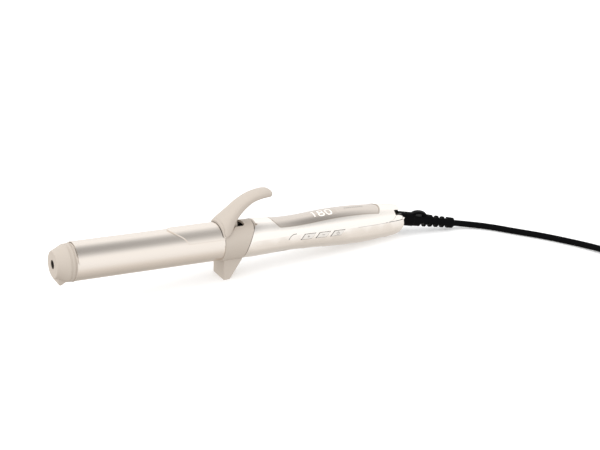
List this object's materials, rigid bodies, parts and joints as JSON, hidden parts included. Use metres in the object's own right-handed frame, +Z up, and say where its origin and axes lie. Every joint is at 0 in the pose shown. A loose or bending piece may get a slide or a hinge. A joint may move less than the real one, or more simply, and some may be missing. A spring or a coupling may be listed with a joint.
{
  "type": "curling iron",
  "caption": "Electric curling iron with a round heated barrel, a spring clip with a horn-shaped lever, a fixed table foot, a handle with side keys and display, and a mains cord on a swivel",
  "frame": {"origin": "centre of the rest foot's sole, on the table that the iron lies on", "axes": "+X runs from the barrel's tip to the cord along the table, +Z is up from the table, +Y is to the left of someone who looks from the tip towards the cord with the clip on top, away from the side with the keys. The barrel's axis dips 5.2 degrees towards the cord."},
  "size_m": [0.5827, 0.2163, 0.0743],
  "materials": {
    "champagne_metal": "satin champagne lacquer on the aluminium barrel, clip plate and tongue bracket",
    "beige_plastic": "fine satin heat-resistant plastic",
    "champagne_shell": "glossy pearl champagne lacquer",
    "panel_film": "satin lacquered inlay",
    "panel_rim": "polished pale rim",
    "display_lens": "tinted clear window",
    "display_module": "liquid crystal display with pale segments",
    "button": "glossy lacquered key cap with printed sign",
    "black_plastic": "black nylon, fine texture",
    "black_rubber": "soft black PVC",
    "steel": "zinc plated steel",
    "spring_steel": "bright spring wire",
    "aluminium": "extruded aluminium",
    "heater_ceramic": "white ceramic under polyimide film",
    "sensor_glass": "glass bead thermistor and fuse sleeve",
    "board": "green fibreglass board with components",
    "switch_metal": "tact switch cases",
    "lead_insulation": "glass-braid sleeved wires",
    "bush_plastic": "dark heat-proof plastic",
    "pin_metal": "nickel plated brass"
  },
  "bodies": {
    "handle": {"tip_cap": "beige_plastic", "tip_screw": "steel", "tip_bracket": "steel", "barrel_tube": "champagne_metal", "heater_upper_block": "aluminium", "heater_lower_block": "aluminium", "ptc_heater": "heater_ceramic", "thermistor": "sensor_glass", "thermal_fuse": "sensor_glass", "heater_leads": "lead_insulation", "barrel_bush": "bush_plastic", "clip_hinge_pin": "steel", "clip_torsion_spring": "spring_steel", "guard_collar": "beige_plastic", "rest_foot": "beige_plastic", "foot_screws": "steel", "handle_lower_shell": "champagne_shell", "handle_upper_shell": "champagne_shell", "end_collar": "champagne_shell", "shell_screws": "steel", "panel_rim": "panel_rim", "control_panel": "panel_film", "display_window": "display_lens", "display_module": "display_module", "control_board": "board", "button_board": "board", "tact_switches": "switch_metal", "swivel_socket": "black_plastic", "power_leads": "lead_insulation", "power_cord": "black_rubber", "cord_coil": "black_rubber", "cord_tie": "black_rubber", "cord_tail": "black_rubber", "plug_body": "black_plastic", "plug_pins": "pin_metal"},
    "clip": {"clip_plate": "champagne_metal", "clip_saddle": "champagne_metal", "clip_rivets": "steel", "clip_lever": "beige_plastic"},
    "plus_key": {"button_plus": "button"},
    "minus_key": {"button_minus": "button"},
    "power_key": {"button_power": "button"},
    "swivel": {"swivel_head": "black_plastic", "cord_boot": "black_rubber"}
  },
  "joints": [
    {"name": "clip_hinge", "type": "hinge", "parent": "handle", "child": "clip", "pos_m": [0.01159, 0, 0.04117], "axis": [0, 1, 0], "range_deg": [0, 24], "stiffness_Nm_per_rad": 0.4, "springref_deg": -57.3, "deforming": ["clip_torsion_spring"]},
    {"name": "plus_press", "type": "slide", "parent": "handle", "child": "plus_key", "axis": [0, 1, 0], "range_m": [0, 0.0006], "stiffness_N_per_m": 600, "springref_m": -0.001},
    {"name": "minus_press", "type": "slide", "parent": "handle", "child": "minus_key", "axis": [0, 1, 0], "range_m": [0, 0.0006], "stiffness_N_per_m": 600, "springref_m": -0.001},
    {"name": "power_press", "type": "slide", "parent": "handle", "child": "power_key", "axis": [0, 1, 0], "range_m": [0, 0.0006], "stiffness_N_per_m": 600, "springref_m": -0.001},
    {"name": "cord_swivel", "type": "hinge", "parent": "handle", "child": "swivel", "pos_m": [0.1837, 0, 0.0155], "axis": [0.9328, -0.3194, -0.1668], "continuous": true}
  ]
}
